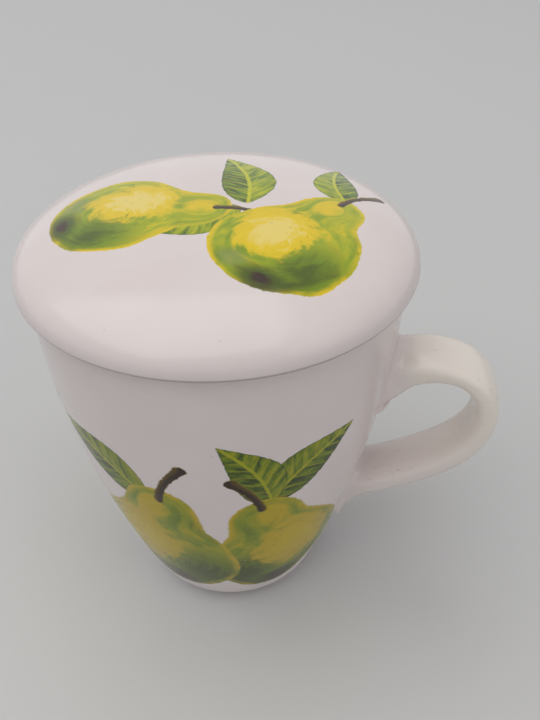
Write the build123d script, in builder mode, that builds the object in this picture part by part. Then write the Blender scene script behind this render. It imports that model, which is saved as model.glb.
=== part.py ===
from build123d import *
from math import atan, cos, pi, radians, sin, sqrt, tan
import os

# Lidded tea mug with a steel infuser.
# Frame: the origin is on the mug's axis at the plane of its foot ring.
# +Z is up along the axis and +X points at the handle. Sizes are in millimetres.

# ---- Mug ----
mug_height = 99.6  # top of the rim above the foot
mouth_radius = 44.2  # outside of the rim
heel_radius = 25.2  # outside of the wall where the heel's arc begins
heel_height = 7.0
heel_lean = 21.0  # degrees by which the wall leans outwards at the heel
heel_arc = 8.0  # radius of the rounded heel
wall_fullness = 0.33  # share of the wall's height that each end tangent holds
mug_wall = 3.6
rim_rounding = 1.35  # each edge of the rim
floor_thickness = 4.6
inner_heel_arc = 11.0
foot_radius = 20.5
foot_width = 2.6
foot_recess = 1.9  # how far the underside stands up inside the foot ring
foot_chamfer = 0.4

# ---- Handle, a flattened strap ----
# Each point of its centre line has a height and a distance beyond the mug's wall.
strap_width = 15.6
strap_thickness = 6.4
strap_rounding = 2.8
upper_root_height = 64.5
shoulder_height = 74.2
shoulder_out = 4.1
crown_height = 75.5
crown_out = 12.0
bow_height = 62.4
bow_out = 26.4
bend_height = 45.2
bend_out = 20.3
tail_height = 37.5
tail_out = 8.9
lower_root_height = 22.5
root_depth = 8.0  # how far behind the wall's outer face the centre line ends
upper_flare_width = 3.0  # how much the strap spreads where it meets the wall
upper_flare_thickness = 5.6
upper_flare_reach = 8.0  # how far out from the wall the spread fades
lower_flare_width = 1.0
lower_flare_thickness = 2.6
lower_flare_reach = 6.0
strap_stations = 24  # sections along the strap

# ---- Infuser ----
sheet = 0.6
lip_inset = 1.3  # the lip stops short of the outside of the mug's rim
neck_clearance = 0.9  # radial, inside the mug's mouth
neck_depth = 8.0  # below the lip's upper face
shoulder_width = 5.0  # radial step from the neck in to the basket
shoulder_drop = 3.4
socket_depth = 4.5
bend_radius = 1.2  # of the pressed sheet's middle
basket_lift = 31.3  # of the basket's foot above the floor of the mug
ring_clearance = 1.3  # radial, between the base ring and the mug's wall
base_ring_height = 5.0
base_flange = 3.4  # how far the base ring turns in under the floor
floor_clearance = 0.1  # radial, between the floor and the wall
hole_radius = 1.05
hole_columns = 36
hole_pitch = 4.4  # between rows of the wall
hole_margin = 1.6  # plain sheet between the holes and a joined edge
floor_hole_pitch = 4.6

# ---- Lid ----
lid_radius = 47.0
lid_rise = 13.1  # from its seat to the top of the dome
lid_edge_radius = 1.2  # rounding under the widest line
dome_shoulder = 0.69  # how far the flat of the dome reaches outwards
dome_side = 0.63  # how far the side of the dome reaches upwards
lid_thickness = 4.4
collar_clearance = 1.0  # radial, inside the infuser's neck
collar_depth = 4.6
collar_width = 3.2
collar_rounding = 1.0

os.makedirs("parts", exist_ok=True)


def wall_end(inset):
    """The lowest point of the mug's wall, inset from its outer face, and the wall's rise there."""
    lean = radians(heel_lean)
    low_end = Vector(heel_radius - inset * cos(lean), heel_height + inset * sin(lean))
    return low_end, Vector(sin(lean), cos(lean))


def wall_line(inset):
    """The curve of the mug's wall from the rim to the heel, inset from its outer face."""
    low_end, rise = wall_end(inset)
    hold = wall_fullness * (mug_height - low_end.Y)
    rim_end = Vector(mouth_radius - inset, mug_height)
    return Bezier(rim_end, rim_end - Vector(0, hold), low_end + rise * hold, low_end)


def heel_centre(inset, radius):
    """The centre of an arc that carries on from the wall's lower end."""
    low_end, rise = wall_end(inset)
    return low_end + Vector(-rise.Y, rise.X) * radius


def heel_line(inset, radius, end):
    """The arc from the wall's lower end round to a point below it."""
    start, rise = wall_end(inset)
    centre = heel_centre(inset, radius)
    crest = centre + ((start + end) * 0.5 - centre).normalized() * radius
    return ThreePointArc(start, crest, end)


def wall_radius(wall, height):
    """The radius of a face of the mug's wall at a height, found by halving its curve."""
    low, high = 0.0, 1.0
    for _ in range(30):
        middle = (low + high) / 2
        if (wall @ middle).Y > height:
            low = middle
        else:
            high = middle
    return (wall @ low).X


def beyond_wall(distance, height):
    """A point of the handle's centre line."""
    return wall_radius(outer_wall, height) + distance, height


# ---- The mug's outer form, solid right through ----
heel_middle = heel_centre(0, heel_arc)
foot_top = Vector(
    foot_radius, heel_middle.Y - sqrt(heel_arc**2 - (foot_radius - heel_middle.X) ** 2)
)
with BuildPart() as mug_form:
    with BuildSketch(Plane.YZ):
        with BuildLine():
            outer_wall = wall_line(0)
            heel_line(0, heel_arc, foot_top)
            Polyline(
                foot_top,
                (foot_radius, foot_chamfer),
                (foot_radius - foot_chamfer, 0),
                (0, 0),
                (0, mug_height),
                outer_wall @ 0,
            )
        make_face()
    revolve(axis=Axis.Z)

# ---- Mug body: the form, hollowed from above and recessed inside its foot ring ----
cavity_floor = foot_recess + floor_thickness
bowl_middle = heel_centre(mug_wall, inner_heel_arc)
bowl_side = sqrt(max(inner_heel_arc**2 - (bowl_middle.Y - cavity_floor) ** 2, 0))
floor_edge = Vector(bowl_middle.X + bowl_side, cavity_floor)
with BuildPart() as mug_body:
    add(mug_form.part)
    with BuildSketch(Plane.YZ):
        with BuildLine():
            inner_wall = wall_line(mug_wall)
            heel_line(mug_wall, inner_heel_arc, floor_edge)
            Polyline(floor_edge, (0, cavity_floor), (0, mug_height), inner_wall @ 0)
        make_face()
    revolve(axis=Axis.Z, mode=Mode.SUBTRACT)
    with BuildSketch(Plane.XY):
        Circle(foot_radius - foot_width)
    extrude(amount=foot_recess, mode=Mode.SUBTRACT)
    round_edges = mug_body.edges().filter_by(GeomType.CIRCLE)
    fillet(round_edges.group_by(Axis.Z)[-1], min(rim_rounding, 0.45 * mug_wall))
    foot_edges = mug_body.edges().filter_by(GeomType.CIRCLE).group_by(Axis.Z)[0]
    chamfer(foot_edges.sort_by(SortBy.RADIUS)[0], foot_chamfer)

# ---- Handle: a strap lofted along its centre line and cut at the mug's face ----
with BuildPart() as mug_handle:
    with BuildLine(Plane.XZ):
        centre_line = Spline(
            beyond_wall(-root_depth, upper_root_height),
            beyond_wall(shoulder_out, shoulder_height),
            beyond_wall(crown_out, crown_height),
            beyond_wall(bow_out, bow_height),
            beyond_wall(bend_out, bend_height),
            beyond_wall(tail_out, tail_height),
            beyond_wall(-root_depth, lower_root_height),
        )
    for station in range(strap_stations + 1):
        share = station / strap_stations
        spot = centre_line @ share
        out = max(spot.X - wall_radius(outer_wall, spot.Z), 0)
        if share < 0.5:
            flare = (1 - min(out / upper_flare_reach, 1)) ** 2
            width = strap_width + flare * upper_flare_width
            thickness = strap_thickness + flare * upper_flare_thickness
        else:
            flare = (1 - min(out / lower_flare_reach, 1)) ** 2
            width = strap_width + flare * lower_flare_width
            thickness = strap_thickness + flare * lower_flare_thickness
        rounding = strap_rounding * thickness / strap_thickness
        with BuildSketch(Plane(origin=spot, x_dir=(0, 1, 0), z_dir=centre_line % share)):
            RectangleRounded(width, thickness, rounding)
    loft()
    add(mug_form.part, mode=Mode.SUBTRACT)

# ---- Infuser: heights and radii shared by its pressed rim and its basket ----
lip_top = mug_height + sheet
neck_radius = mouth_radius - mug_wall - neck_clearance
neck_foot = lip_top - neck_depth
basket_top = neck_foot - shoulder_drop
basket_bottom = cavity_floor + basket_lift
basket_radius = neck_radius - shoulder_width
foot_room = wall_radius(inner_wall, basket_bottom) - ring_clearance
taper = atan((basket_radius - foot_room + sheet) / (basket_top - basket_bottom))
slant = sheet / cos(taper)  # the thickness of the tapering sheet, measured level


def basket_outside(height):
    """The outer radius of the tapering basket wall."""
    return basket_radius - (basket_top - height) * tan(taper)


# ---- Infuser rim: lip, neck, shoulder and the socket that holds the basket ----
socket_foot = basket_top - socket_depth
with BuildPart() as infuser_rim:
    with BuildSketch(Plane.YZ):
        with BuildLine():
            FilletPolyline(
                (mouth_radius - lip_inset, lip_top - sheet / 2),
                (neck_radius - sheet / 2, lip_top - sheet / 2),
                (neck_radius - sheet / 2, neck_foot),
                (basket_outside(basket_top) + slant / 2, basket_top),
                (basket_outside(socket_foot) + slant / 2, socket_foot),
                radius=bend_radius,
            )
        trace(line_width=sheet)
    revolve(axis=Axis.Z)

# ---- Infuser wall: a tapering sleeve with staggered rows of holes ----
wall_top = basket_top - bend_radius
first_row = basket_bottom + base_ring_height + hole_margin + hole_radius
last_row = socket_foot - hole_margin - hole_radius
row_count = int((last_row - first_row) / hole_pitch) + 1
hole_places = []
for row in range(row_count):
    row_height = first_row + row * hole_pitch
    for column in range(hole_columns):
        turn = (column + 0.5 * (row % 2)) * 2 * pi / hole_columns
        outwards = Vector(cos(turn), sin(turn))
        spot = outwards * basket_outside(row_height) + Vector(0, 0, row_height)
        hole_places.append(Plane(origin=spot, z_dir=outwards))
with BuildPart() as infuser_wall:
    with BuildSketch(Plane.YZ):
        with BuildLine():
            Polyline(
                (basket_outside(wall_top) - slant, wall_top),
                (basket_outside(wall_top), wall_top),
                (basket_outside(basket_bottom), basket_bottom),
                (basket_outside(basket_bottom) - slant, basket_bottom),
                close=True,
            )
        make_face()
    revolve(axis=Axis.Z)
    with Locations(*hole_places):
        Cylinder(hole_radius, 4 * sheet, mode=Mode.SUBTRACT)

# ---- Infuser base ring: pressed round the foot of the wall and in under the floor ----
ring_top = basket_bottom + base_ring_height
ring_foot = basket_bottom - sheet
flange_edge = basket_outside(basket_bottom) - base_flange
with BuildPart() as infuser_base_ring:
    with BuildSketch(Plane.YZ):
        with BuildLine():
            Polyline(
                (basket_outside(ring_top), ring_top),
                (basket_outside(ring_top) + slant, ring_top),
                (basket_outside(ring_foot) + slant, ring_foot),
                (flange_edge, ring_foot),
                (flange_edge, basket_bottom),
                (basket_outside(basket_bottom), basket_bottom),
                close=True,
            )
        make_face()
    revolve(axis=Axis.Z)
    ring_edges = infuser_base_ring.edges().filter_by(GeomType.CIRCLE).group_by(Axis.Z)[0]
    fillet(ring_edges.sort_by(SortBy.RADIUS)[-1], 0.9 * sheet)

# ---- Infuser floor: a perforated disc on the base ring's flange ----
floor_radius = basket_outside(basket_bottom) - slant - floor_clearance
floor_rings = int((flange_edge - hole_radius) / floor_hole_pitch)
with BuildPart() as infuser_floor:
    with BuildSketch(Plane.XY.offset(basket_bottom)):
        Circle(floor_radius)
        for ring in range(floor_rings + 1):
            with PolarLocations(ring * floor_hole_pitch, max(6 * ring, 1)):
                Circle(hole_radius, mode=Mode.SUBTRACT)
    extrude(amount=sheet)

# ---- Lid: a dome with a locating collar under it ----
lid_seat = lip_top
lid_waist = lid_seat + lid_edge_radius
lid_top = lid_seat + lid_rise
dome_height = lid_top - lid_waist
collar_radius = neck_radius - sheet - collar_clearance
hollow_radius = collar_radius - collar_width
hollow_height = dome_height - lid_thickness
with BuildPart() as lid:
    with BuildSketch(Plane.YZ):
        with BuildLine():
            Bezier(
                (0, lid_top),
                (dome_shoulder * lid_radius, lid_top),
                (lid_radius, lid_waist + dome_side * dome_height),
                (lid_radius, lid_waist),
            )
            RadiusArc(
                (lid_radius, lid_waist),
                (lid_radius - lid_edge_radius, lid_seat),
                lid_edge_radius,
            )
            Polyline(
                (lid_radius - lid_edge_radius, lid_seat),
                (collar_radius, lid_seat),
                (collar_radius, lid_seat - collar_depth),
                (hollow_radius, lid_seat - collar_depth),
                (hollow_radius, lid_seat),
            )
            Bezier(
                (hollow_radius, lid_seat),
                (hollow_radius, lid_seat + dome_side * (lid_rise - lid_thickness)),
                (dome_shoulder * hollow_radius, lid_top - lid_thickness),
                (0, lid_top - lid_thickness),
            )
            Line((0, lid_top - lid_thickness), (0, lid_top))
        make_face()
    revolve(axis=Axis.Z)
    collar_edges = lid.edges().filter_by(GeomType.CIRCLE).group_by(Axis.Z)[0]
    fillet(collar_edges, min(collar_rounding, 0.45 * collar_width))

pieces = {
    "mug_body": mug_body,
    "mug_handle": mug_handle,
    "infuser_rim": infuser_rim,
    "infuser_wall": infuser_wall,
    "infuser_base_ring": infuser_base_ring,
    "infuser_floor": infuser_floor,
    "lid": lid,
}
for name, piece in pieces.items():
    piece.part.label = name
    export_step(piece.part, f"parts/{name}.step")
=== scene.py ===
from bisect import bisect
from math import atan2, cos, hypot, pi, radians, sin, sqrt

import bmesh
import bpy
from mathutils import Euler, Matrix, Vector


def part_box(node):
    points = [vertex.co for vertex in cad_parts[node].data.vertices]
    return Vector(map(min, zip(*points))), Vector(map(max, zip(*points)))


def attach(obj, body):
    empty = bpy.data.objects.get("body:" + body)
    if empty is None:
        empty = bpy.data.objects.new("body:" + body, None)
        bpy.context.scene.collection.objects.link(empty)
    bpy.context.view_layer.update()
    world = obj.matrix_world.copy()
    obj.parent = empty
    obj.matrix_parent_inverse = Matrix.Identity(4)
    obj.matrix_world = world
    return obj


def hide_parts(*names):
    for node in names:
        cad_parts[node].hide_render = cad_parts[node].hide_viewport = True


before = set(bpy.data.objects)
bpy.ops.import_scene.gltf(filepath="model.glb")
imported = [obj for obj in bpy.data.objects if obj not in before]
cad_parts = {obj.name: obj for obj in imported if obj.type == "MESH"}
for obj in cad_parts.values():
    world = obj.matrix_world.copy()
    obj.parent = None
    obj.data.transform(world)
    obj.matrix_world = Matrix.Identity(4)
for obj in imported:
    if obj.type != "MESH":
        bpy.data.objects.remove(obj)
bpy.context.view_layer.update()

# A lidded tea mug with a steel infuser. Profiles are drawn in millimetres as (radius, height).
mm = 0.001

# ---- Sizes that the pieces share ----
lid_overhang = 2.8
mug_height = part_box("mug_body")[1][2] / mm
mouth_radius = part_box("lid")[1][0] / mm - lid_overhang
heel_radius = 25.2
heel_height = 7.0
heel_lean = radians(21)
heel_arc = 8.0
wall_fullness = 0.33
mug_wall = 3.6
rim_rounding = 1.35
rim_clearance = 0.05  # between the wall's last point and the start of the rim's rounding
inner_heel_arc = 11.0
cavity_floor = 6.5
foot_radius = 20.5
foot_width = 2.6
foot_recess = 1.9
foot_roundings = [0.9, 0.7, 0.9]  # under the mug, then the ring's inner and outer edge

lid_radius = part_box("lid")[1][0] / mm
lid_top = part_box("lid")[1][2] / mm
lid_gap = 0.6  # the lid rests on the infuser's lip, this far above the mug's rim
lid_seat = mug_height + lid_gap
lid_edge = 1.2
lid_thickness = 4.4
collar_radius = 38.1
collar_width = 3.2
collar_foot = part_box("lid")[0][2] / mm
collar_roundings = [0.5, 1.1, 1.1]  # under the lid, then the collar's outer and inner edge
dome_crown = 0.69  # how far out the dome's top is drawn level, as a share of its radius
dome_shoulder = 0.63  # how far up its edge is drawn upright, as a share of its rise

# The handle's strap from root to root: the points that pull its middle line, as (distance
# beyond the wall, height), and its thickness at even steps along it.
strap_places = [
    (-7.9, 67.6), (3.2, 68.8), (-1.6, 73.7), (18.9, 77.5), (31.5, 59.3), (22.0, 40.6), (-9.1, 29.4)
]
strap_thicknesses = [7.5, 9.1, 5.9, 6.6, 7.3]
strap_width = 15.6
strap_squareness = 2.7  # 2 is an ellipse, and more fills the corners
strap_corners = 56
root_room = 25.0  # the strap is plain from here out
root_steps = 12
lip_steps = 4
lip_reach = 0.5  # how far a lip runs on along the wall, as a share of its height
lip_creep = 0.1  # and how much further at each step, so that no two rings coincide
lip_sink = 0.02
halvings = 16  # in the search for the place where the strap meets the wall
# The last two rings of a root, hidden in the wall: how far on along it, and beyond its face.
root_tuck = [(0.3, -0.4), (-1.5, -1.5)]
# Each root's outer side, inner side and edges: how far from the wall the strap starts to
# spread, how far it runs along the wall, and the height of the lip that it ends in.
upper_root = ((5.0, 5.1, 0.0), (7.0, -0.8, 2.4), (7.0, 6.6, 0.03))
lower_root = ((31.0, 7.5, 2.5), (8.0, 3.5, 0.0), (3.0, 1.5, 0.03))

round_steps = 224  # sections around a turned piece
merge_distance = 0.01 * mm


# ---- Lines and turned pieces ----
def bezier(start, first, second, end, steps):
    """Points of a curve from start to end, with its two handles."""
    points = []
    for step in range(steps + 1):
        t = step / steps
        shares = ((1 - t) ** 3, 3 * t * (1 - t) ** 2, 3 * t * t * (1 - t), t ** 3)
        points.append(tuple(
            sum(share * spot[axis] for share, spot in zip(shares, (start, first, second, end)))
            for axis in (0, 1)
        ))
    return points


def arc(centre, start, end, steps):
    """Points of an arc about a centre, the shorter way round."""
    first = atan2(start[1] - centre[1], start[0] - centre[0])
    turn = atan2(end[1] - centre[1], end[0] - centre[0]) - first
    turn = (turn + pi) % (2 * pi) - pi
    radius = hypot(start[0] - centre[0], start[1] - centre[1])
    return [
        (centre[0] + radius * cos(first + turn * step / steps),
         centre[1] + radius * sin(first + turn * step / steps))
        for step in range(steps + 1)
    ]


def rounded(points, radii, steps=6):
    """A line of straight runs whose inner corners are rounded by the radii given."""
    line = [points[0]]
    for before, corner, after, radius in zip(points, points[1:], points[2:], radii):
        back = Vector(before) - Vector(corner)
        onward = Vector(after) - Vector(corner)
        half = back.angle(onward) / 2
        if radius:
            reach = radius * cos(half) / sin(half)
            start = Vector(corner) + back.normalized() * reach
            end = Vector(corner) + onward.normalized() * reach
            centre = Vector(corner) + (back.normalized() + onward.normalized()).normalized() * (
                radius / sin(half))
            line += arc(centre, start, end, steps)
        else:
            line.append(tuple(corner))
    return line + [points[-1]]


def activate(piece):
    """Selects one piece alone and makes it active."""
    bpy.ops.object.select_all(action="DESELECT")
    piece.select_set(True)
    bpy.context.view_layer.objects.active = piece


def drawn_line(name, points):
    """A line of straight runs in the plane of X and Z, as a mesh."""
    line = bpy.data.curves.new(name, "CURVE")
    line.dimensions = "3D"
    run = line.splines.new("POLY")
    run.points.add(len(points) - 1)
    for spot, (radius, height) in zip(run.points, points):
        spot.co = (radius * mm, 0, height * mm, 1)
    piece = bpy.data.objects.new(name, line)
    bpy.context.collection.objects.link(piece)
    activate(piece)
    bpy.ops.object.convert(target="MESH")
    return bpy.context.object


def turned(name, points):
    """A piece spun about the upright axis from its profile."""
    piece = drawn_line(name, points)
    bpy.ops.object.mode_set(mode="EDIT")
    bpy.ops.mesh.select_all(action="SELECT")
    bpy.ops.mesh.spin(steps=round_steps, angle=2 * pi, center=(0, 0, 0), axis=(0, 0, 1))
    bpy.ops.mesh.select_all(action="SELECT")
    bpy.ops.mesh.remove_doubles(threshold=merge_distance)
    bpy.ops.mesh.normals_make_consistent(inside=False)
    bpy.ops.object.mode_set(mode="OBJECT")
    bpy.ops.object.shade_smooth()
    return piece


# ---- Mug body ----
def wall_end(inset):
    """The foot of the mug's wall, inset from its outer face, and the wall's rise there."""
    return (
        (heel_radius - inset * cos(heel_lean), heel_height + inset * sin(heel_lean)),
        (sin(heel_lean), cos(heel_lean)),
    )


def wall_line(inset, steps=48):
    """The mug's wall from the heel to the rim."""
    low, rise = wall_end(inset)
    hold = wall_fullness * (mug_height - low[1])
    rim = (mouth_radius - inset, mug_height)
    upwards = (low[0] + rise[0] * hold, low[1] + rise[1] * hold)
    return bezier(low, upwards, (rim[0], rim[1] - hold), rim, steps)


def heel_centre(inset, radius):
    """The centre of the heel's arc below the wall."""
    low, rise = wall_end(inset)
    return low[0] - rise[1] * radius, low[1] + rise[0] * radius


def below_rim(line):
    """The part of a wall line that ends where the rim's rounding begins."""
    return [spot for spot in line if spot[1] < mug_height - rim_rounding - rim_clearance]


wall_outline = wall_line(0, steps=240)
wall_heights = [height for _, height in wall_outline]


def wall_radius(height):
    """The radius of the mug's outer face at a height, in millimetres."""
    place = min(max(bisect(wall_heights, height), 1), len(wall_outline) - 1)
    low, high = wall_outline[place - 1], wall_outline[place]
    return low[0] + (high[0] - low[0]) * (height - low[1]) / (high[1] - low[1])


def make_mug_body():
    heel = heel_centre(0, heel_arc)
    foot_top = (foot_radius, heel[1] - sqrt(heel_arc ** 2 - (foot_radius - heel[0]) ** 2))
    bowl = heel_centre(mug_wall, inner_heel_arc)
    floor_edge = (bowl[0] + sqrt(inner_heel_arc ** 2 - (bowl[1] - cavity_floor) ** 2), cavity_floor)
    ring_inside = foot_radius - foot_width
    foot = rounded(
        [(0, foot_recess), (ring_inside, foot_recess), (ring_inside, 0), (foot_radius, 0),
         foot_top],
        foot_roundings)
    rim_inside = mouth_radius - mug_wall
    rim = rounded(
        [below_rim(wall_line(0))[-1], (mouth_radius, mug_height), (rim_inside, mug_height),
         below_rim(wall_line(mug_wall))[-1]],
        [rim_rounding, rim_rounding])
    inside = below_rim(wall_line(mug_wall))[::-1]
    profile = (
        foot
        + arc(heel, foot_top, wall_end(0)[0], steps=10)[1:]
        + below_rim(wall_line(0))[1:]
        + rim[1:]
        + inside[1:]
        + arc(bowl, wall_end(mug_wall)[0], floor_edge, steps=10)[1:]
        + [(0, cavity_floor)]
    )
    return turned("mug_body_shell", profile)


# ---- Handle ----
def strap_line():
    """Points along the middle of the strap, with the heading and the thickness at each."""
    bend = bpy.data.curves.new("strap_line", "CURVE")
    bend.dimensions = "3D"
    line = bend.splines.new("NURBS")
    line.points.add(len(strap_places) - 1)
    for pull, (out, height) in zip(line.points, strap_places):
        pull.co = (wall_radius(height) + out, 0, height, 1)
    line.order_u = 4
    line.use_endpoint_u = True
    line.resolution_u = 18
    guide = bpy.data.objects.new("strap_line", bend)
    bpy.context.collection.objects.link(guide)
    activate(guide)
    bpy.ops.object.convert(target="MESH")
    guide = bpy.context.object
    spots = [vertex.co.copy() for vertex in guide.data.vertices]
    bpy.data.objects.remove(guide)
    strap = []
    for place in range(1, len(spots) - 1):
        step, share = divmod(place / (len(spots) - 1) * (len(strap_thicknesses) - 1), 1)
        before, after = strap_thicknesses[int(step):int(step) + 2]
        heading = (spots[place + 1] - spots[place - 1]).normalized()
        strap.append((
            spots[place], heading, before + (after - before) * share * share * (3 - 2 * share)))
    return strap


def strap_section(spot, heading, thickness):
    """A ring of the strap about a point of its middle, first its side, then its outer face."""
    outwards = Vector((-heading.z, 0, heading.x))
    ring = []
    for corner in range(strap_corners):
        turn = 2 * pi * corner / strap_corners
        across, through = (
            size / 2 * abs(way) ** (2 / strap_squareness) * (1 if way > 0 else -1)
            for size, way in ((strap_width, cos(turn)), (thickness, sin(turn)))
        )
        ring.append(spot + Vector((0, across, 0)) + outwards * through)
    return ring


def on_wall(spot, lift=0):
    """The point moved level with itself to the mug's wall, or to a distance beyond it."""
    reach = wall_radius(spot.z) + lift
    level = hypot(spot.x, spot.y)
    return Vector((spot.x * reach / level, spot.y * reach / level, spot.z))


def wall_normal(spot, probe=0.5):
    """The direction straight out of the wall, from its slope within a probe's reach."""
    slope = (wall_radius(spot.z + probe) - wall_radius(spot.z - probe)) / (2 * probe)
    level = hypot(spot.x, spot.y)
    return Vector((spot.x / level, spot.y / level, -slope)).normalized()


def root_rings(rings, outer, inner, edge):
    """Rings that carry a strap's end on to the wall in a hollow curve and down over its lip."""
    paths = []
    for corner in range(strap_corners):
        path = [ring[corner] for ring in rings]
        place = next(
            place for place, spot in enumerate(path) if hypot(spot.x, spot.y) < wall_radius(spot.z))
        near, far = path[place - 1], path[place]
        for _ in range(halvings):
            middle = (near + far) / 2
            if hypot(middle.x, middle.y) > wall_radius(middle.z):
                near = middle
            else:
                far = middle
        paths.append(path[:place] + [near])
    quarter = strap_corners // 4
    outwards = 1 if paths[quarter][-1].z > paths[3 * quarter][-1].z else -1
    curves = []
    for corner, path in enumerate(paths):
        turn = 2 * pi * corner / strap_corners
        faces = (max(sin(turn), 0) ** 2, max(-sin(turn), 0) ** 2, cos(turn) ** 2)
        start, lip = (
            sum(share * size[kind] for share, size in zip(faces, (outer, inner, edge)))
            for kind in (0, 2)
        )
        reached = [0.0]
        for before, after in zip(path, path[1:]):
            reached.append(reached[-1] + (after - before).length)

        def along(distance):
            place = min(bisect(reached, distance), len(path) - 1)
            share = (distance - reached[place - 1]) / (reached[place] - reached[place - 1])
            return path[place - 1].lerp(path[place], share)

        end = path[-1]
        normal = wall_normal(end)
        sideways = Vector((-end.y, end.x, 0)).normalized()
        rise = max(sin(turn), 0) * outer[1] + min(sin(turn), 0) * inner[1]
        spread = sideways * cos(turn) * edge[1] + normal.cross(sideways) * rise * outwards
        foot = on_wall(end + spread) + normal * lip
        spread.normalize()
        lead = reached[-1] - start
        curve = [along(lead * step / root_steps) for step in range(1, root_steps)]
        for step in range(root_steps + 1):
            t = step / root_steps
            curve.append(along(lead + start * (2 * t - t * t)) + (foot - end) * t * t)
        for step in range(1, lip_steps + 1):
            fall = pi / 2 * step / lip_steps
            curve.append(
                foot + spread * (lip_reach * lip * sin(fall) + lip_creep * step)
                - normal * (lip * (1 - cos(fall)) + lip_sink * step))
        for run, lift in root_tuck:
            curve.append(on_wall(curve[-1] + spread * run, lift))
        curves.append(curve)
    return [list(ring) for ring in zip(*curves)]


def make_mug_handle():
    line = strap_line()
    rings = [strap_section(*spot) for spot in line]
    clear = [
        place for place, (spot, _, _) in enumerate(line) if spot.x - wall_radius(spot.z) > root_room
    ]
    strap = rings[clear[0]:clear[-1] + 1]
    upper = root_rings(rings[clear[0]::-1], *upper_root)
    lower = root_rings(rings[clear[-1]:], *lower_root)
    mesh = bmesh.new()
    loops = [
        [mesh.verts.new(spot * mm) for spot in ring] for ring in upper[::-1] + strap + lower
    ]
    for before, after in zip(loops, loops[1:]):
        for corner in range(strap_corners):
            mesh.faces.new((before[corner - 1], before[corner], after[corner], after[corner - 1]))
    mesh.faces.new(loops[0])
    mesh.faces.new(loops[-1])
    bmesh.ops.recalc_face_normals(mesh, faces=mesh.faces)
    shape = bpy.data.meshes.new("mug_handle_strap")
    mesh.to_mesh(shape)
    mesh.free()
    handle = bpy.data.objects.new("mug_handle_strap", shape)
    bpy.context.collection.objects.link(handle)
    activate(handle)
    bpy.ops.object.shade_smooth()
    return handle


# ---- Lid ----
def make_lid():
    waist = lid_seat + lid_edge
    rise = lid_top - waist
    hollow = collar_radius - collar_width
    inner_rise = lid_top - lid_seat - lid_thickness
    top = bezier(
        (0, lid_top), (dome_crown * lid_radius, lid_top),
        (lid_radius, waist + dome_shoulder * rise), (lid_radius, waist), steps=64)
    edge = arc(
        (lid_radius - lid_edge, waist), (lid_radius, waist), (lid_radius - lid_edge, lid_seat),
        steps=8)
    under = rounded(
        [edge[-1], (collar_radius, lid_seat), (collar_radius, collar_foot),
         (hollow, collar_foot), (hollow, lid_seat)],
        collar_roundings)
    dome = bezier(
        (hollow, lid_seat), (hollow, lid_seat + dome_shoulder * inner_rise),
        (dome_crown * hollow, lid_seat + inner_rise), (0, lid_seat + inner_rise), steps=40)
    return turned("lid_shell", top + edge[1:] + under[1:] + dome[1:])


# ---- Working with material nodes ----
def feed(tree, socket, value):
    if isinstance(value, bpy.types.NodeSocket):
        tree.links.new(value, socket)
    else:
        socket.default_value = value


def maths(tree, operation, *values):
    node = tree.nodes.new("ShaderNodeMath")
    node.operation = operation
    for socket, value in zip(node.inputs, values):
        feed(tree, socket, value)
    return node.outputs[0]


def level_radius(tree, x, y):
    """The length of a pair of numbers, such as the distance from the upright axis."""
    return maths(
        tree, "SQRT", maths(tree, "ADD", maths(tree, "POWER", x, 2), maths(tree, "POWER", y, 2)))


def joined(tree, x, y, z=0.0):
    node = tree.nodes.new("ShaderNodeCombineXYZ")
    for socket, value in zip(node.inputs, (x, y, z)):
        feed(tree, socket, value)
    return node.outputs[0]


def parted(tree, place):
    node = tree.nodes.new("ShaderNodeSeparateXYZ")
    feed(tree, node.inputs[0], place)
    return node.outputs[:3]


def moved(tree, place, shift=(0, 0, 0), turn=(0, 0, 0), scale=(1, 1, 1)):
    node = tree.nodes.new("ShaderNodeMapping")
    feed(tree, node.inputs["Vector"], place)
    node.inputs["Location"].default_value = shift
    node.inputs["Rotation"].default_value = turn
    node.inputs["Scale"].default_value = scale
    return node.outputs[0]


def noise(tree, place, scale, detail=3.0, roughness=0.55, distortion=0.0):
    node = tree.nodes.new("ShaderNodeTexNoise")
    feed(tree, node.inputs["Vector"], place)
    node.inputs["Scale"].default_value = scale
    node.inputs["Detail"].default_value = detail
    node.inputs["Roughness"].default_value = roughness
    node.inputs["Distortion"].default_value = distortion
    return node.outputs[0]


def polar(tree, place):
    """A place's distance from the upright axis, its angle round it, and its height."""
    x, y, height = parted(tree, place)
    return level_radius(tree, x, y), maths(tree, "ARCTAN2", y, x), height


def cells(tree, place, scale):
    """Spots at random: the distance to the nearest one and its own random number."""
    node = tree.nodes.new("ShaderNodeTexVoronoi")
    feed(tree, node.inputs["Vector"], place)
    node.inputs["Scale"].default_value = scale
    return node.outputs["Distance"], parted(tree, node.outputs["Color"])[0]


def ease(tree, value, low, high, to_low=0.0, to_high=1.0):
    """Rises or falls smoothly from one number to another between two values."""
    node = tree.nodes.new("ShaderNodeMapRange")
    node.interpolation_type = "SMOOTHSTEP"
    for socket, number in zip(node.inputs, (value, low, high, to_low, to_high)):
        feed(tree, socket, number)
    return node.outputs[0]


def shades(tree, value, *stops):
    node = tree.nodes.new("ShaderNodeValToRGB")
    feed(tree, node.inputs[0], value)
    for _ in stops[2:]:
        node.color_ramp.elements.new(0.5)
    for stop, (place, colour) in zip(node.color_ramp.elements, stops):
        stop.position = place
        stop.color = (*colour, 1)
    return node.outputs[0]


def mottled(tree, value, tones):
    """A colour that wanders between two tones with a noise."""
    return shades(tree, value, (0.3, tones[0]), (0.7, tones[1]))


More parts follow.
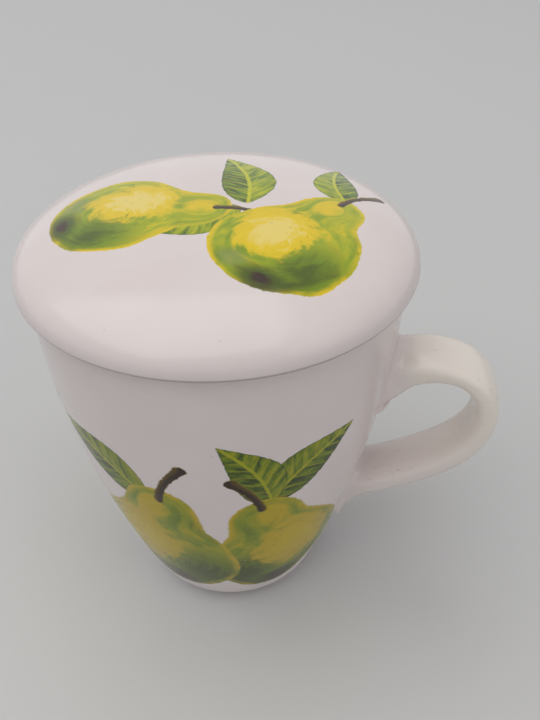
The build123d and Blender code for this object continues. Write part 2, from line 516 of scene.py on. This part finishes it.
def laid(tree, cover, below, above):
    """One colour laid over another where the cover says."""
    node = tree.nodes.new("ShaderNodeMix")
    node.data_type = "RGBA"
    for place, value in ((0, cover), (6, below), (7, above)):
        feed(tree, node.inputs[place], (*value, 1) if isinstance(value, tuple) else value)
    return node.outputs[2]


def laid_value(tree, cover, below, above):
    """One number in place of another where the cover says."""
    return maths(tree, "ADD", maths(tree, "MULTIPLY", below, maths(tree, "SUBTRACT", 1, cover)),
                 maths(tree, "MULTIPLY", cover, above))


def new_motif(name):
    """A node group for a painted motif: a place and a brush go in, colour and cover come out."""
    tree = bpy.data.node_groups.new(name, "ShaderNodeTree")
    for socket in ("Across", "Up", "Brush"):
        tree.interface.new_socket(socket, in_out="INPUT", socket_type="NodeSocketFloat")
    for socket, kind in (("Colour", "NodeSocketColor"), ("Cover", "NodeSocketFloat")):
        tree.interface.new_socket(socket, in_out="OUTPUT", socket_type=kind)
    across, up, brush = tree.nodes.new("NodeGroupInput").outputs[:3]
    return tree, across, up, brush, tree.nodes.new("NodeGroupOutput").inputs


# ---- The painted pears and leaves ----
dark_green = (0.045, 0.075, 0.006)
deep_green = (0.13, 0.21, 0.012)
mid_green = (0.29, 0.37, 0.025)
yellow_green = (0.47, 0.47, 0.025)
grey_green = (0.19, 0.25, 0.11)
golden = (0.74, 0.55, 0.025)
straw = (0.80, 0.66, 0.24)
rib_green = (0.56, 0.56, 0.08)
stalk_brown = (0.035, 0.018, 0.010)
stalk_light = (0.13, 0.085, 0.03)
unpainted = (0.8, 0.775, 0.75)
brush_step = 3.7  # between the brush numbers of two motifs
first_brush = 1.3


def pear_group():
    """A pear in brush strokes: its belly is round the origin, half a unit in radius."""
    tree, across, up, brush, outputs = new_motif("painted_pear")
    place = joined(tree, across, up, brush)

    def reach(x, y, stretch=1.0):
        """The distance from a point of the pear, measured longer across it by the stretch."""
        sideways = maths(tree, "MULTIPLY", maths(tree, "SUBTRACT", across, x), stretch)
        return level_radius(tree, sideways, maths(tree, "SUBTRACT", up, y))

    belly = maths(tree, "SUBTRACT", reach(0, 0), 0.5)
    neck = maths(tree, "SUBTRACT", reach(0.05, 0.60), 0.215)
    outline = maths(tree, "SMOOTH_MIN", belly, neck, 0.38)
    sway = maths(tree, "MULTIPLY_ADD", noise(tree, place, 2.2, 1), 0.10, -0.05)
    bristle = maths(tree, "MULTIPLY_ADD", noise(tree, place, 26, 2), 0.022, -0.011)
    depth = maths(
        tree, "SUBTRACT", maths(tree, "MULTIPLY", sway, -1), maths(tree, "ADD", outline, bristle))
    angle = maths(tree, "ARCTAN2", maths(tree, "SUBTRACT", up, 0.1), across)
    round_it = joined(
        tree, maths(tree, "MULTIPLY", angle, 0.9), maths(tree, "MULTIPLY", outline, 7.5), brush)
    strokes = noise(tree, round_it, 2.4, 3, 0.52, 0.5)
    daubs = noise(tree, place, 3.1, 4, 0.6, 0.4)
    blend_by = maths(tree, "MULTIPLY_ADD", strokes, 0.62, maths(tree, "MULTIPLY", daubs, 0.38))
    skin = shades(
        tree, blend_by,
        (0.30, deep_green), (0.44, mid_green), (0.56, yellow_green), (0.68, golden))

    def patch(x, y, radius, stretch, rough):
        """How far inside a soft patch a point is, from 1 at its middle down."""
        inside = maths(tree, "SUBTRACT", 1, maths(tree, "DIVIDE", reach(x, y, stretch), radius))
        return maths(tree, "ADD", inside, maths(
            tree, "MULTIPLY", maths(tree, "SUBTRACT", blend_by, 0.5), rough))

    shade = patch(0.27, -0.17, 0.42, 1.15, 1.6)
    colour = laid(tree, ease(tree, shade, 0.05, 0.65, 0, 0.85), skin, deep_green)
    colour = laid(tree, ease(tree, shade, 0.45, 0.95, 0, 0.8), colour, dark_green)
    bruise = patch(-0.20, -0.30, 0.20, 0.8, 1.6)
    colour = laid(tree, ease(tree, bruise, 0.1, 0.8, 0, 0.7), colour, grey_green)
    light = patch(-0.12, 0.12, 0.40, 1.25, 1.5)
    colour = laid(tree, ease(tree, light, 0.05, 0.32), colour, golden)
    colour = laid(tree, ease(tree, light, 0.34, 0.70), colour, straw)
    neck_light = patch(0.0, 0.60, 0.19, 1.5, 1.8)
    colour = laid(tree, ease(tree, neck_light, 0.05, 0.6, 0, 0.9), colour, golden)
    edge = ease(tree, depth, 0.012, 0.055, 1, 0)
    patchy = ease(tree, noise(tree, place, 5, 2), 0.35, 0.6, 0.25, 0.95)
    colour = laid(tree, maths(tree, "MULTIPLY", edge, patchy), colour, golden)
    near, chance = cells(tree, place, 21)
    dots = maths(tree, "MULTIPLY", ease(tree, near, 0.08, 0.22, 0.45, 0),
                 maths(tree, "GREATER_THAN", chance, 0.6))
    colour = laid(tree, dots, colour, deep_green)
    hollow = patch(0.07, -0.385, 0.13, 0.62, 0.9)
    colour = laid(tree, ease(tree, hollow, -0.2, 0.5, 0, 0.9), colour, dark_green)
    colour = laid(tree, ease(tree, hollow, 0.45, 0.75), colour, stalk_brown)

    rise = maths(tree, "SUBTRACT", up, 0.70)
    along = maths(tree, "MINIMUM", maths(tree, "MAXIMUM", rise, 0), 0.34)
    lean = maths(tree, "MULTIPLY_ADD", maths(tree, "POWER", along, 2), 1.1, 0.05)
    aside = maths(tree, "SUBTRACT", across, lean)
    beyond = maths(tree, "SUBTRACT", rise, along)
    width = maths(tree, "MULTIPLY_ADD", maths(tree, "POWER", along, 3), 0.5, 0.024)
    stalk = maths(tree, "SUBTRACT", level_radius(tree, aside, beyond), width)
    stalk_cover = ease(tree, maths(tree, "ADD", stalk, bristle), -0.006, 0.010, 1, 0)
    stalk_tone = laid(
        tree, ease(tree, maths(tree, "ADD", aside, bristle), -0.02, 0.004, 1, 0), stalk_brown,
        stalk_light)
    cover = maths(tree, "MAXIMUM", ease(tree, depth, -0.004, 0.012), stalk_cover)
    tree.links.new(laid(tree, stalk_cover, colour, stalk_tone), outputs[0])
    tree.links.new(cover, outputs[1])
    return tree


def leaf_group():
    """A leaf in brush strokes, one unit long from its stalk at the origin."""
    tree, across, up, brush, outputs = new_motif("painted_leaf")
    place = joined(tree, across, up, brush)
    share = maths(tree, "MINIMUM", maths(tree, "MAXIMUM", up, 0), 1)
    bow = maths(tree, "MULTIPLY", maths(tree, "SINE", maths(tree, "MULTIPLY", share, pi)), 0.09)
    aside = maths(tree, "SUBTRACT", across, bow)
    away = maths(tree, "ABSOLUTE", aside)
    swell = maths(tree, "SINE", maths(tree, "MULTIPLY", maths(tree, "POWER", share, 0.72), pi))
    bristle = maths(tree, "MULTIPLY_ADD", noise(tree, place, 22, 2), 0.024, -0.012)
    half = maths(tree, "ADD", maths(tree, "MULTIPLY", swell, 0.235), bristle)
    inside = maths(tree, "SUBTRACT", half, away)
    within = maths(
        tree, "MULTIPLY", maths(tree, "GREATER_THAN", up, 0), maths(tree, "LESS_THAN", up, 1))
    cover = maths(tree, "MULTIPLY", ease(tree, inside, 0.0, 0.014), within)
    swept = maths(tree, "SUBTRACT", up, maths(tree, "MULTIPLY", away, 0.8))
    slanting = joined(
        tree, maths(tree, "MULTIPLY", aside, 5), maths(tree, "MULTIPLY", swept, 11), brush)
    strokes = noise(tree, slanting, 1.3, 3, 0.6, 0.3)
    half_tone = ease(tree, aside, -0.03, 0.03, -0.07, 0.07)
    colour = shades(
        tree, maths(tree, "ADD", strokes, half_tone),
        (0.33, dark_green), (0.47, deep_green), (0.60, mid_green), (0.74, yellow_green))
    slant = maths(tree, "FRACT", maths(
        tree, "MULTIPLY", maths(tree, "SUBTRACT", up, maths(tree, "MULTIPLY", away, 0.75)), 8))
    from_vein = maths(tree, "ABSOLUTE", maths(tree, "SUBTRACT", slant, 0.5))
    vein = maths(
        tree, "MULTIPLY", ease(tree, from_vein, 0.05, 0.12, 0.55, 0),
        ease(tree, inside, 0.0, 0.05))
    colour = laid(tree, vein, colour, yellow_green)
    rib = ease(tree, maths(tree, "ADD", away, bristle), 0.008, 0.022, 0.9, 0)
    colour = laid(tree, rib, colour, rib_green)
    colour = laid(tree, ease(tree, inside, 0.008, 0.03, 0.6, 0), colour, dark_green)
    tree.links.new(colour, outputs[0])
    tree.links.new(cover, outputs[1])
    return tree


painted_pear = pear_group()
painted_leaf = leaf_group()


def paint_motifs(tree, motifs, spot_of):
    """Lays painted motifs over each other, the first lowest, and returns colour and cover.

    Each is (group, place, tilt in degrees, size in millimetres, 1 or -1 for its mirror image),
    and spot_of gives the flat position round a place.
    """
    colour, cover = unpainted, None
    for number, (group, place, tilt, size, hand) in enumerate(motifs):
        flat = moved(
            tree, spot_of(place), turn=(0, 0, radians(-tilt * hand)),
            scale=(hand / size, 1 / size, 1))
        across, up, _ = parted(tree, flat)
        node = tree.nodes.new("ShaderNodeGroup")
        node.node_tree = group
        feed(tree, node.inputs[0], across)
        feed(tree, node.inputs[1], up)
        node.inputs[2].default_value = brush_step * number + first_brush
        colour = laid(tree, node.outputs[1], colour, node.outputs[0])
        cover = maths(tree, "MAXIMUM", cover, node.outputs[1]) if cover else node.outputs[1]
    return colour, cover


def round_the_mug(tree, place):
    """Positions on the unrolled wall, about an origin at (azimuth in degrees, height)."""
    radius, angle, height = polar(tree, place)

    def spot_of(origin):
        azimuth, level = origin
        turn = maths(tree, "WRAP", maths(tree, "SUBTRACT", angle, radians(azimuth)), pi, -pi)
        return joined(
            tree, maths(tree, "MULTIPLY", turn, radius), maths(tree, "SUBTRACT", height, level))

    return spot_of


def across_the_lid(tree, place):
    """Positions on the lid seen from above, about an origin at (x, y)."""
    def spot_of(origin):
        x, y, _ = parted(tree, moved(tree, place, shift=(-origin[0], -origin[1], 0)))
        return joined(tree, x, y)

    return spot_of


# Each motif: its group, its place, its tilt in degrees, its size and its hand.
mug_motifs = [
    (painted_leaf, (-166, 58), 58, 28, 1),
    (painted_leaf, (-162, 58), -38, 25, -1),
    (painted_leaf, (-106, 57), 62, 31, 1),
    (painted_leaf, (-66, 58), -52, 29, -1),
    (painted_leaf, (-64, 57), 30, 27, 1),
    (painted_leaf, (73, 58), 40, 27, 1),
    (painted_leaf, (78, 58), -48, 29, -1),
    (painted_leaf, (124, 58), 64, 30, 1),
    (painted_leaf, (130, 57), -30, 26, -1),
    (painted_pear, (-172, 29), 12, 39, -1),
    (painted_pear, (-56, 29), 13, 39, -1),
    (painted_pear, (-112, 30), -9, 41, 1),
    (painted_pear, (68, 29), -11, 38, 1),
    (painted_pear, (128, 30), 8, 41, -1),
]
lid_motifs = [
    (painted_leaf, (7, 3), 20, 29, 1),
    (painted_leaf, (29, 9), 8, 23, -1),
    (painted_leaf, (6, 1), 118, 26, -1),
    (painted_pear, (-22, -3), -78, 32, 1),
    (painted_pear, (17, -13), -24, 33, 1),
]


# ---- Finishes ----
white_glaze = ((0.788, 0.710, 0.703), (0.823, 0.750, 0.743))
# a cream tone that also carries painted warm light on the handle's top
cream_and_warm_light = (0.92, 0.87, 0.775)
# painted shade for the seam under the lid's edge
seam_shade_colour = (0.40, 0.34, 0.31)
iron_speck = (0.36, 0.27, 0.18)
scuff_brown = (0.50, 0.43, 0.36)
bare_clay = ((0.52, 0.44, 0.36), (0.70, 0.63, 0.55))
steel_grey = ((0.43, 0.425, 0.415), (0.62, 0.615, 0.605))
tea_brown = (0.40, 0.30, 0.19)
floor_grey = ((0.61, 0.62, 0.625), (0.65, 0.66, 0.665))
clay_roughness = 0.82
rub_roughness = 0.09  # what a rubbed line adds to the glaze's own
glaze_depth = 0.05  # of the ripple, the paint and the clay's grain together
steel_depth = 0.02
floor_depth = 0.03
cream_start, cream_full = 1.0, 9.0  # how far beyond the wall the cream sets in
# heights between which the handle's cream grows, as painted warm light towards its top
warm_light_low_height, warm_light_top_height = 38, 64
mark_softness = 0.35
# Painted shade in the seam under the lid's edge: full and gone at these heights, from and to these
# depths inside the edge.
seam_shade_full, seam_shade_end = 0.7, 1.4  # heights above the lid's lower face
seam_shade_depth, seam_shade_start = 1.6, 1.1  # how far inside the lid's edge


def new_material(name):
    material = bpy.data.materials.new(name)
    material.use_nodes = True
    tree = material.node_tree
    shader = tree.nodes["Principled BSDF"]
    spot = tree.nodes.new("ShaderNodeTexCoord").outputs["Object"]
    return material, tree, shader, moved(tree, spot, scale=(1000, 1000, 1000))


def raise_surface(tree, shader, height, depth):
    """Bump by a height from 0 to 1 that stands for a depth in millimetres."""
    bump = tree.nodes.new("ShaderNodeBump")
    bump.inputs["Distance"].default_value = depth * mm
    feed(tree, bump.inputs["Height"], height)
    tree.links.new(bump.outputs[0], shader.inputs["Normal"])


def glaze(name, painted=None, bare=None, scuffed_and_warm_lit=False, painted_seam_shade=False):
    """White glaze over stoneware.

    Painted gives motifs, their layout, and how rich and how light the paint is. Bare is the
    height below which the clay shows. A handle's glaze is scuffed and turns cream away from the
    wall, partly a cream tone and partly painted warm light that grows towards its top. The
    lid's glaze is darkened at its lower edge by painted shade, where the seam's shadow falls.
    """
    material, tree, shader, place = new_material(name)
    colour = mottled(tree, noise(tree, place, 0.045, 3), white_glaze)
    near, chance = cells(tree, place, 0.35)
    specks = maths(tree, "MULTIPLY", ease(tree, near, 0.03, 0.075, 0.6, 0),
                   maths(tree, "GREATER_THAN", chance, 0.955))
    colour = laid(tree, specks, colour, iron_speck)
    peel = noise(tree, place, 0.16, 2)
    ripple = noise(tree, place, 0.9, 2)
    height = maths(tree, "MULTIPLY_ADD", peel, 0.8, maths(tree, "MULTIPLY", ripple, 0.12))
    if painted:
        motifs, layout, richness, lightness = painted
        paint, cover = paint_motifs(tree, motifs, layout(tree, place))
        toned = tree.nodes.new("ShaderNodeHueSaturation")
        tree.links.new(paint, toned.inputs["Color"])
        toned.inputs["Saturation"].default_value = richness
        toned.inputs["Value"].default_value = lightness
        colour = laid(tree, cover, colour, toned.outputs[0])
        height = maths(tree, "MULTIPLY_ADD", cover, 0.25, height)
    if scuffed_and_warm_lit:
        scuffs = noise(tree, moved(tree, place, scale=(0.14, 0.8, 0.9)), 0.9, 4, 0.65)
        patches = noise(tree, place, 0.09, 2)
        # Away from the wall the handle turns cream, and more so higher up: partly a cream tone,
        # partly painted warm light on its top. The scuffs are wear.
        x, y, level = parted(tree, place)
        low, high = strap_places[-1][1], strap_places[0][1]
        wall = ease(tree, level, low, high, wall_radius(low), wall_radius(high))
        away = maths(tree, "SUBTRACT", level_radius(tree, x, y), wall)
        cream_and_light = maths(
            tree, "MULTIPLY", ease(tree, away, cream_start, cream_full, 0, 0.75),
            ease(tree, level, warm_light_low_height, warm_light_top_height, 0.35, 1))
        colour = laid(tree, cream_and_light, colour, cream_and_warm_light)
        scuffed = maths(tree, "MULTIPLY", ease(tree, scuffs, 0.58, 0.72, 0, 0.4),
                        ease(tree, patches, 0.48, 0.62))
        colour = laid(tree, scuffed, colour, scuff_brown)
    # Painted shade: the lid's lower edge is darkened where the seam's shadow falls under it.
    if painted_seam_shade:
        x, y, level = parted(tree, place)
        radius = level_radius(tree, x, y)
        seam_shade = maths(
            tree, "MULTIPLY", ease(tree, level, lid_seat + seam_shade_full, lid_seat + seam_shade_end, 0.9, 0),
            ease(tree, radius, lid_radius - seam_shade_depth, lid_radius - seam_shade_start))
        colour = laid(tree, seam_shade, colour, seam_shade_colour)
    rubs = noise(tree, moved(tree, place, turn=(0.5, 0.3, 0.9), scale=(0.05, 1.6, 1.6)), 1.0, 3)
    smears = ease(tree, noise(tree, place, 0.07, 4, 0.6, 0.6), 0.42, 0.72, 0.14, 0.26)
    gloss = maths(tree, "MULTIPLY_ADD", ease(tree, rubs, 0.62, 0.70), rub_roughness, smears)
    if bare:
        level = parted(tree, place)[2]
        grain = noise(tree, place, 1.4, 4, 0.7)
        mark = ease(
            tree, maths(tree, "MULTIPLY_ADD", grain, 0.5, level), bare, bare + mark_softness, 1, 0)
        colour = laid(tree, mark, colour, mottled(tree, grain, bare_clay))
        gloss = laid_value(tree, mark, gloss, clay_roughness)
        height = maths(tree, "MULTIPLY_ADD", maths(tree, "MULTIPLY", mark, grain), 0.9, height)
    tree.links.new(colour, shader.inputs["Base Color"])
    tree.links.new(gloss, shader.inputs["Roughness"])
    shader.inputs["IOR"].default_value = 1.52
    shader.inputs["Specular IOR Level"].default_value = 0.36
    raise_surface(tree, shader, height, glaze_depth)
    return material


def brushed_steel():
    """Stainless steel brushed round and round, a little stained by tea."""
    material, tree, shader, place = new_material("infuser_brushed_steel")
    radius, angle, level = polar(tree, place)
    lines = noise(
        tree, joined(
            tree, maths(tree, "MULTIPLY", radius, 5), maths(tree, "MULTIPLY", level, 5),
            maths(tree, "MULTIPLY", angle, 0.9)), 1.0, 3, 0.7)
    clouds = noise(tree, place, 0.06, 4, 0.6)
    metal = mottled(tree, lines, steel_grey)
    stain = maths(tree, "MULTIPLY", ease(tree, clouds, 0.46, 0.68, 0, 0.45), ease(
        tree, level, 40, 80, 1, 0.25))
    tree.links.new(laid(tree, stain, metal, tea_brown), shader.inputs["Base Color"])
    shader.inputs["Metallic"].default_value = 1
    tree.links.new(
        maths(tree, "ADD", ease(tree, lines, 0.25, 0.75, 0.15, 0.29),
              maths(tree, "MULTIPLY", stain, 0.35)), shader.inputs["Roughness"])
    raise_surface(tree, shader, lines, steel_depth)
    return material


# ---- Camera, light and floor ----
def make_camera():
    focal_pixels = 829.6
    image_width = 540
    pitch = radians(38.1)
    heading = radians(8.42)
    roll = radians(-0.89)
    stand = Vector((0.01183, -0.16844, 0.20142))  # before the turn to its heading
    lens = bpy.data.cameras.new("camera")
    lens.sensor_fit = "HORIZONTAL"
    lens.sensor_width = 36
    lens.lens = lens.sensor_width * focal_pixels / image_width
    lens.clip_start = 0.01
    camera = bpy.data.objects.new("camera", lens)
    bpy.context.collection.objects.link(camera)
    camera.location = Matrix.Rotation(heading, 3, "Z") @ stand
    aim = Euler((pi / 2 - pitch, 0, heading)).to_matrix() @ Matrix.Rotation(roll, 3, "Z")
    camera.rotation_euler = aim.to_euler()
    bpy.context.scene.camera = camera


def make_floor():
    bpy.ops.object.select_all(action="DESELECT")
    bpy.ops.mesh.primitive_plane_add(size=6, location=(0, 0, 0))
    floor = bpy.context.object
    floor.name = "floor"
    material, tree, shader, place = new_material("pale_floor")
    wear = noise(tree, place, 0.004, 4)
    tree.links.new(mottled(tree, wear, floor_grey), shader.inputs["Base Color"])
    tree.links.new(ease(tree, wear, 0.3, 0.7, 0.55, 0.7), shader.inputs["Roughness"])
    raise_surface(tree, shader, noise(tree, place, 0.5, 3), floor_depth)
    floor.data.materials.append(material)


def make_lamp(name, place, size, power, colour):
    """A square soft light that points at the middle of the mug."""
    aim = (0, 0, 0.05)
    lamp = bpy.data.lights.new(name, "AREA")
    lamp.shape = "SQUARE"
    lamp.size = size
    lamp.energy = power
    lamp.color = colour
    holder = bpy.data.objects.new(name, lamp)
    bpy.context.collection.objects.link(holder)
    holder.location = place
    holder.rotation_euler = (Vector(aim) - Vector(place)).to_track_quat("-Z", "Y").to_euler()


def make_light():
    make_lamp(
        "overhead_softbox", place=(-0.45, -0.2, 1.7), size=2.4, power=25,
        colour=(1.0, 0.975, 0.955))
    make_lamp(
        "side_softbox", place=(1.3, -0.5, 0.9), size=1.2, power=2.6, colour=(1.0, 0.95, 0.9))
    world = bpy.data.worlds.new("room")
    world.use_nodes = True
    tree = world.node_tree
    room = tree.nodes["Background"]
    room.inputs["Color"].default_value = (0.94, 0.93, 0.95, 1)
    room.inputs["Strength"].default_value = 0.27
    backdrop = tree.nodes.new("ShaderNodeBackground")
    backdrop.inputs["Color"].default_value = (0.94, 0.935, 0.93, 1)
    backdrop.inputs["Strength"].default_value = 1.0
    path = tree.nodes.new("ShaderNodeLightPath").outputs
    seen = maths(tree, "MAXIMUM", path["Is Camera Ray"], maths(
        tree, "MAXIMUM", path["Is Glossy Ray"], path["Is Transmission Ray"]))
    either = tree.nodes.new("ShaderNodeMixShader")
    feed(tree, either.inputs[0], seen)
    tree.links.new(room.outputs[0], either.inputs[1])
    tree.links.new(backdrop.outputs[0], either.inputs[2])
    tree.links.new(either.outputs[0], tree.nodes["World Output"].inputs[0])
    bpy.context.scene.world = world
    bpy.context.scene.view_settings.view_transform = "Standard"


# ---- The pieces, dressed and in place ----
mug_painted_from = 4.0  # heights above which a face may be painted
lid_painted_from = 100.5
paint_margin = 1.5  # how far inside the wall's outline a face of its outside may lie


def outside_of_mug(face):
    """Whether a face lies on the outside of the mug, above its foot."""
    spot = face.center / mm
    outline = wall_radius(max(spot.z, heel_height + 0.1))
    return spot.z > mug_painted_from and hypot(spot.x, spot.y) > outline - paint_margin


def top_of_lid(face):
    """Whether a face lies on the lid's outer side, above its edge."""
    spot = face.center / mm
    return spot.z > lid_painted_from and face.normal.z > 0


def glaze_piece(piece, plain, painted, is_painted):
    """Puts plain glaze on a piece and painted glaze on the faces that the test picks."""
    piece.data.materials.append(plain)
    piece.data.materials.append(painted)
    for face in piece.data.polygons:
        if is_painted(face):
            face.material_index = 1


make_camera()
make_light()
make_floor()
# The handle's glaze is scuffed, and cream with painted warm light towards its top.
handle_glaze = glaze("handle_glaze", scuffed_and_warm_lit=True)
foot_glaze = glaze("mug_glaze", bare=0.45)
mug_paint = glaze("mug_painted_glaze", painted=(mug_motifs, round_the_mug, 1.7, 0.72))
# The lid's plain glaze carries painted shade at its lower edge.
lid_glaze = glaze("lid_glaze", bare=collar_foot + 0.4, painted_seam_shade=True)
lid_paint = glaze("lid_painted_glaze", painted=(lid_motifs, across_the_lid, 1.15, 1.12))
steel = brushed_steel()

mug_shell = make_mug_body()
glaze_piece(mug_shell, foot_glaze, mug_paint, outside_of_mug)
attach(mug_shell, "mug")
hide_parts("mug_body")

handle = make_mug_handle()
handle.data.materials.append(handle_glaze)
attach(handle, "mug")
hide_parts("mug_handle")

lid_shell = make_lid()
glaze_piece(lid_shell, lid_glaze, lid_paint, top_of_lid)
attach(lid_shell, "lid")
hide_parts("lid")

for node in ("infuser_rim", "infuser_wall", "infuser_base_ring", "infuser_floor"):
    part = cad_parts[node]
    part.data.materials.clear()
    part.data.materials.append(steel)
